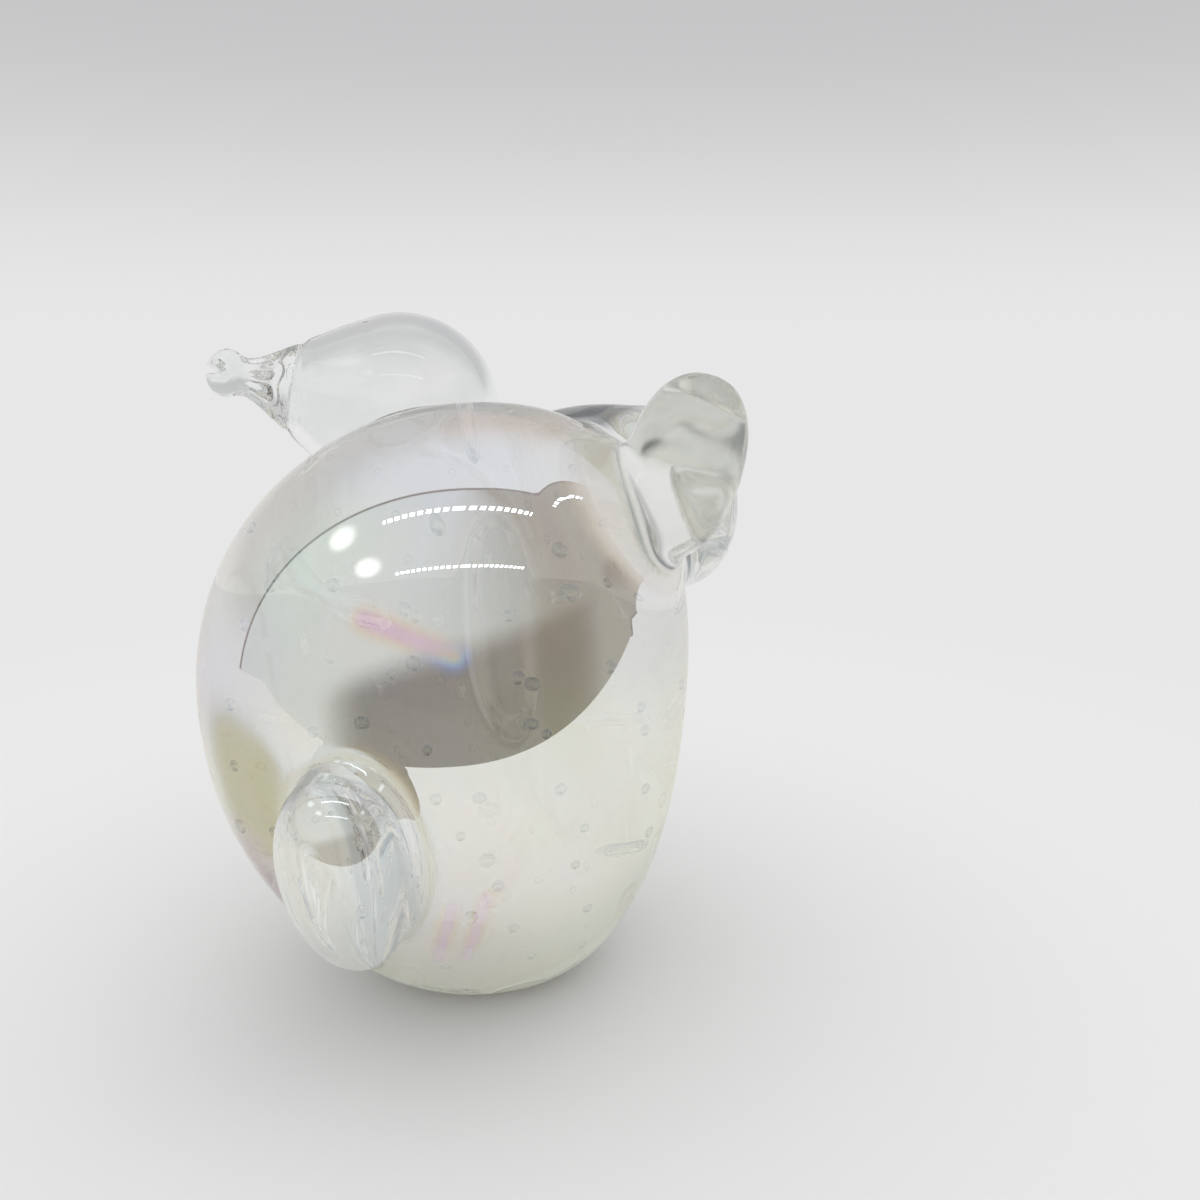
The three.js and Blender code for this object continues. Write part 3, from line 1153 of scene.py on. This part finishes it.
        start = points
        for _ in range(self.line_rounds):
            skin_slope = self.slope(self.fused, points)
            lead_slope = self.slope(lead, points)
            shared = np.sum(lead_slope * skin_slope, 1) / np.maximum(np.sum(skin_slope ** 2, 1), LEAST_SLOPE)
            across = lead_slope - skin_slope * shared[:, None]
            move = lead(points) / np.maximum(np.sum(across * across, 1), LEAST_SLOPE)
            points = self.drop(points - across * move[:, None])
        strayed = np.linalg.norm(points - start, axis=1) > self.stray_steps * self.step
        points[strayed] = start[strayed]
        return points


class Workshop:
    """Makes the gathers' meshes in Blender and dresses them."""

    def __init__(self, figure: Figure, body: Body) -> None:
        """Keeps the figure and makes its finishes.

        Args:
            figure: The melted gathers.
            body: The gather that holds the bubbles.
        """
        self.figure = figure
        self.body = body
        self.clear = ClearGlass().material()
        self.faint = ClearGlass(name="faint_lustre_glass", film=FAINT_FILM).material()
        self.lustre = LustreGlass().material()
        self.fused = FusedJoint().material()
        self.air = ClearGlass(name="bubble_glass").material()

    def blow(self) -> list[bpy.types.Object]:
        """Builds every gather's mesh, in order.

        Returns:
            The finished pieces.
        """
        points, faces = self.figure.skin()
        points = self.figure.settle(points, faces)
        points, owner = self.figure.part(points, faces)
        slope = self.figure.slope(self.figure.fused, points)
        normals = slope / np.linalg.norm(slope, axis=1)[:, None]
        pieces = []
        for index, gather in enumerate(self.figure.gathers):
            pieces.append(self.piece(gather, points, normals, faces[owner == index]))
        return pieces

    def piece(
        self, gather: Gather, points: Array, normals: Array, faces: Array
    ) -> bpy.types.Object:
        """One gather's closed mesh, dressed and set on the frame.

        Args:
            gather: The gather that is made.
            points: All points of the skin.
            normals: The skin's direction at each point.
            faces: The gather's own faces.

        Returns:
            The finished piece.
        """
        used, local = np.unique(faces, return_inverse=True)
        mesh = bpy.data.meshes.new(gather.name)
        built = bmesh.new()
        verts = [built.verts.new(points[i] * MILLIMETRE) for i in used]
        facing = [normals[i] for i in used]
        for quad in local.reshape(-1, 4):
            built.faces.new([verts[i] for i in dict.fromkeys(quad)]).smooth = True
        self.close_joints(built)
        if gather is self.body:
            for centre, radius in self.body.bubbles():
                if self.clear_of_others(centre):
                    facing += self.bubble(built, centre, radius)
        built.to_mesh(mesh)
        built.free()
        mesh.normals_split_custom_set_from_vertices([tuple(n) for n in facing])
        self.shade(mesh, gather)
        skins = {Coat.NONE: self.clear, Coat.FAINT: self.faint, Coat.FULL: self.lustre}
        for finish in (skins[gather.coat], self.fused, self.air):
            mesh.materials.append(finish)
        made = bpy.data.objects.new(gather.name, mesh)
        bpy.context.scene.collection.objects.link(made)
        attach(made, "root")
        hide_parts(*gather.nodes)
        log.info("%s: %d faces", gather.name, len(mesh.polygons))
        return made

    def shade(self, mesh: bpy.types.Mesh, gather: Gather) -> None:
        """Writes how dark-tinted, frosty and bare the glass is at each point of a mesh.

        Args:
            mesh: The gather's mesh.
            gather: The gather.
        """
        places = np.array([vert.co for vert in mesh.vertices]) / MILLIMETRE
        shades = {"darkness": gather.darkness(places), "frost": gather.frost(places), "bare": self.bare(places)}
        for name, share in shades.items():
            tone = mesh.attributes.new(name, "FLOAT", "POINT")
            tone.data.foreach_set("value", share.astype(np.float32))

    def others(self, points: Array) -> Array:
        """Distances from points to the nearest gather that is fused on the body."""
        fused_on = [gather for gather in self.figure.gathers if gather is not self.body]
        return np.min([gather.distance(points) for gather in fused_on], 0)

    def bare(self, points: Array) -> Array:
        """How bare of lustre the body is at points, from 0 to 1: the heat of each joint burns it off."""
        return np.clip(1 - self.others(points) / self.body.bare_reach, 0, 1)

    def clear_of_others(self, centre: Array) -> bool:
        """Whether a bubble lies well away from the gathers that are fused on the body."""
        return self.others(centre[None])[0] > self.body.bubble_clearance

    def close_joints(self, built: bmesh.types.BMesh) -> None:
        """Closes the openings at the fused joints.

        Args:
            built: A gather's mesh.
        """
        rim = [edge for edge in built.edges if edge.is_boundary]
        for face in bmesh.ops.holes_fill(built, edges=rim, sides=0)["faces"]:
            face.material_index = Region.FUSED.value

    def bubble(self, built: bmesh.types.BMesh, centre: Array, radius: float) -> list[Array]:
        """Adds one air bubble, a round hole in the glass.

        Args:
            built: The body's mesh.
            centre: The bubble's middle.
            radius: The bubble's radius.

        Returns:
            The direction of the glass's surface at each new point.
        """
        place = Matrix.Translation(Vector(centre * MILLIMETRE))
        size = radius * MILLIMETRE
        made = bmesh.ops.create_icosphere(built, subdivisions=BUBBLE_SUBDIVISIONS, radius=size, matrix=place)
        ball = made["verts"]
        facing = [centre - np.array(vert.co) / MILLIMETRE for vert in ball]
        for face in {face for vert in ball for face in vert.link_faces}:
            face.normal_flip()
            face.smooth = True
            face.material_index = Region.BUBBLE.value
        return [n / np.linalg.norm(n) for n in facing]


@dataclass
class Studio:
    """The pale floor, the white tent round it with its lamps, and the camera."""

    floor_gap: float = 0.0003
    floor_near: float = 0.14
    floor_far: float = 1.2
    floor_tone: Colour = (0.87, 0.87, 0.87, 1.0)
    floor_run_out: Span = (0.1, 0.3)
    backdrop: Colour = (0.8, 0.8, 0.805, 1.0)
    backdrop_high: Colour = (0.56, 0.56, 0.57, 1.0)
    backdrop_rise: Span = (0.0, 0.26)
    backdrop_fall: Span = (0.95, 0.6)
    fill_low: Colour = (0.36, 0.36, 0.36, 1.0)
    fill_high: Colour = (1.22, 1.22, 1.22, 1.0)
    room_pale: Colour = (0.65, 0.69, 0.69, 1.0)
    room_dim: Colour = (0.22, 0.22, 0.19, 1.0)
    room_dark: Colour = (0.05, 0.05, 0.045, 1.0)
    dim_span: Span = (-0.4, 1.4)
    opening_edge: Span = (0.085, 0.095)
    opening_lip: Span = (0.062, 0.07)
    opening_stretch: float = 0.15
    door_first: Span = (-1.1, -0.4)
    door_last: Span = (4.0, 1.2)
    door_head: Span = (0.3, 0.02)
    door_slant: float = 0.22
    front_through_glass: float = 0.45
    least_front: float = 0.02
    least_height: float = 0.01
    strips: tuple[Spot, ...] = ((0.28, -0.48, 0.5), (1.0, -0.44, 0.8))
    strip_half_width: float = 0.02
    strip_glow: float = 5.0
    strip_dots: float = 19.0
    dot_share: float = 0.62
    patches: tuple[Spot, ...] = ((0.24, -0.87, 0.2), (0.79, -0.71, 0.2), (0.24, 1.45, 0.22))
    patch_core: float = 1 / 3
    patch_glow: float = 0.9
    toward: Array = pointing(0.1364, 0.9907, 0.0)
    camera_place: Spot = (0.00521, 0.1826, 0.1031)
    camera_aim: Array = pointing(-0.1329, -0.9653, -0.2248)
    camera_nearest: float = 0.01
    lens: float = 34.5
    sensor: float = 36.0
    bounces: int = 24

    def build(self) -> None:
        """Sets up the whole studio."""
        self.floor()
        self.tent()
        self.camera()
        scene = bpy.context.scene
        scene.view_settings.view_transform = "Standard"
        scene.cycles.max_bounces = self.bounces
        scene.cycles.transmission_bounces = self.bounces
        scene.cycles.glossy_bounces = self.bounces
        scene.cycles.transparent_max_bounces = 2 * self.bounces

    def floor(self) -> None:
        """Lays the pale floor and its apron under the camera, which the glass doesn't mirror."""
        material = self.floor_finish()
        far, near = self.floor_far, self.floor_near
        for name, start, end, mirrored in (("floor", -far, near, True), ("floor_apron", near, far, False)):
            mesh = bpy.data.meshes.new(name)
            corners = [(-far, start), (far, start), (far, end), (-far, end)]
            mesh.from_pydata([(x, y, -self.floor_gap) for x, y in corners], [], [(0, 1, 2, 3)])
            mesh.materials.append(material)
            laid = bpy.data.objects.new(name, mesh)
            laid.visible_glossy = mirrored
            laid.visible_transmission = mirrored
            bpy.context.scene.collection.objects.link(laid)

    def floor_finish(self) -> bpy.types.Material:
        """Makes the floor's matt finish, which runs out into the backdrop's tone.

        Returns:
            The node material.
        """
        material = bpy.data.materials.new("pale_floor")
        board = NodeBoard(material)
        place = board.add("ShaderNodeTexCoord").outputs["Object"]
        run_out = board.ramp(board.vector("LENGTH", place)["Value"], *self.floor_run_out)
        matt = board.add("ShaderNodeBsdfDiffuse", Color=self.floor_tone)
        glow = board.add("ShaderNodeEmission", Color=self.backdrop)
        mixed = board.add("ShaderNodeMixShader", Fac=run_out)
        board.feed(mixed.inputs[1], matt.outputs["BSDF"])
        board.feed(mixed.inputs[2], glow.outputs["Emission"])
        board.add("ShaderNodeOutputMaterial", Surface=mixed.outputs["Shader"])
        return material

    def tent(self) -> None:
        """Hangs the tent: white all round, with a greyer open front that only glass and gloss show."""
        world = bpy.data.worlds.new("tent")
        bpy.context.scene.world = world
        board = NodeBoard(world)
        ray = board.add("ShaderNodeLightPath").outputs
        way = board.add("ShaderNodeTexCoord").outputs["Generated"]
        front = board.along(way, self.toward)
        side = board.along(way, np.cross(UP, self.toward))
        height = board.along(way, UP)
        rise = board.product(board.ramp(height, *self.backdrop_rise), board.ramp(height, *self.backdrop_fall))
        wall = board.blend(rise, self.backdrop, self.backdrop_high)
        direct = board.math("LESS_THAN", ray["Transmission Depth"], 1.0)
        room = self.room(board, front, side, height, direct)
        reach = board.math("ADD", front, board.product(side, side, self.opening_stretch))
        mirrored = board.blend(board.ramp(reach, *self.opening_edge), wall, room)
        lip = board.product(board.ramp(reach, *self.opening_lip), board.ramp(reach, *self.opening_edge[::-1]))
        mirrored = board.blend(lip, mirrored, self.room_dark)
        shown = board.math("MAXIMUM", ray["Is Glossy Ray"], ray["Is Transmission Ray"])
        seen = board.math("MAXIMUM", shown, ray["Is Camera Ray"])
        view = board.blend(shown, wall, mirrored)
        fill = board.blend(board.ramp(height, 0.0, 1.0), self.fill_low, self.fill_high)
        light = board.blend(seen, fill, view)
        sky = board.add("ShaderNodeBackground", Color=light)
        board.add("ShaderNodeOutputWorld", Surface=sky.outputs["Background"])

    def room(self, board: NodeBoard, front: Socket, side: Socket, height: Socket, direct: Socket) -> Socket:
        """What the tent's open front shows: a pale roof with lamps and a dark doorway below.

        Args:
            board: The world's nodes.
            front: How far a direction reaches to the front.
            side: How far it reaches to the side.
            height: How far it reaches up.
            direct: 1 where the front is mirrored by a surface, and 0 where it is seen through glass.

        Returns:
            The colour seen in each direction.
        """
        ahead = board.math("MAXIMUM", front, self.least_front)
        aside = board.math("DIVIDE", side, ahead)
        rise = board.math("DIVIDE", height, ahead)
        head = board.math("SUBTRACT", rise, board.product(aside, self.door_slant))
        across = board.product(board.ramp(aside, *self.door_first), board.ramp(aside, *self.door_last))
        door = board.product(across, board.ramp(head, *self.door_head))
        through = board.math("MAXIMUM", direct, self.front_through_glass)
        dim = board.product(board.ramp(aside, *self.dim_span), through)
        pale = board.blend(dim, self.room_pale, self.room_dim)
        colour = board.blend(board.product(door, through), pale, self.room_dark)
        glow = board.product(self.lamps(board, front, side, height), direct)
        return board.vector("ADD", colour, glow)["Vector"]

    def lamps(self, board: NodeBoard, front: Socket, side: Socket, height: Socket) -> Socket:
        """The strips of small lamps and the soft windows in a roof that lies one unit up.

        Args:
            board: The world's nodes.
            front: How far a direction reaches to the front.
            side: How far it reaches to the side.
            height: How far it reaches up.

        Returns:
            How brightly the roof glows in each direction.
        """
        above = board.math("MAXIMUM", height, self.least_height)
        ahead = board.math("DIVIDE", front, above)
        aside = board.math("DIVIDE", side, above)
        glows = []
        for forward, first, last in self.strips:
            across = board.math("ABSOLUTE", board.math("SUBTRACT", ahead, forward))
            along = board.math("ABSOLUTE", board.math("SUBTRACT", aside, (first + last) / 2))
            thin = board.math("LESS_THAN", across, self.strip_half_width)
            short = board.math("LESS_THAN", along, (last - first) / 2)
            beat = board.math("FRACT", board.product(along, self.strip_dots))
            lamp = board.math("LESS_THAN", beat, self.dot_share)
            glows.append(board.product(thin, short, lamp, self.strip_glow))
        for forward, sideways, reach in self.patches:
            across = board.math("SUBTRACT", ahead, forward)
            along = board.math("SUBTRACT", aside, sideways)
            square = board.math("ADD", board.product(across, across), board.product(along, along))
            soft = board.ramp(board.math("SQRT", square), reach, reach * self.patch_core)
            glows.append(board.product(soft, self.patch_glow))
        return board.math("ADD", *glows)

    def camera(self) -> None:
        """Sets up the camera where the photograph was taken from."""
        data = bpy.data.cameras.new("camera")
        data.lens = self.lens
        data.sensor_width = self.sensor
        data.clip_start = self.camera_nearest
        made = bpy.data.objects.new("camera", data)
        made.location = self.camera_place
        made.rotation_euler = Vector(self.camera_aim).to_track_quat("-Z", "Y").to_euler()
        bpy.context.scene.collection.objects.link(made)
        bpy.context.scene.camera = made


def main() -> None:
    """Builds the rabbit and its studio, piece by piece."""
    logging.basicConfig(level=logging.INFO, format="%(name)s %(message)s")
    body = Body()
    head = Head()
    head.settle(body)
    left = LeftEar()
    left.settle(body, head)
    right = RightEar()
    right.settle(body, head)
    tail = Tail()
    tail.settle(body)
    step = FINE_STEP
    figure = Figure([body, head, right, left, tail], step=step)
    Workshop(figure, body).blow()
    Studio().build()


if __name__ == "__main__":
    main()
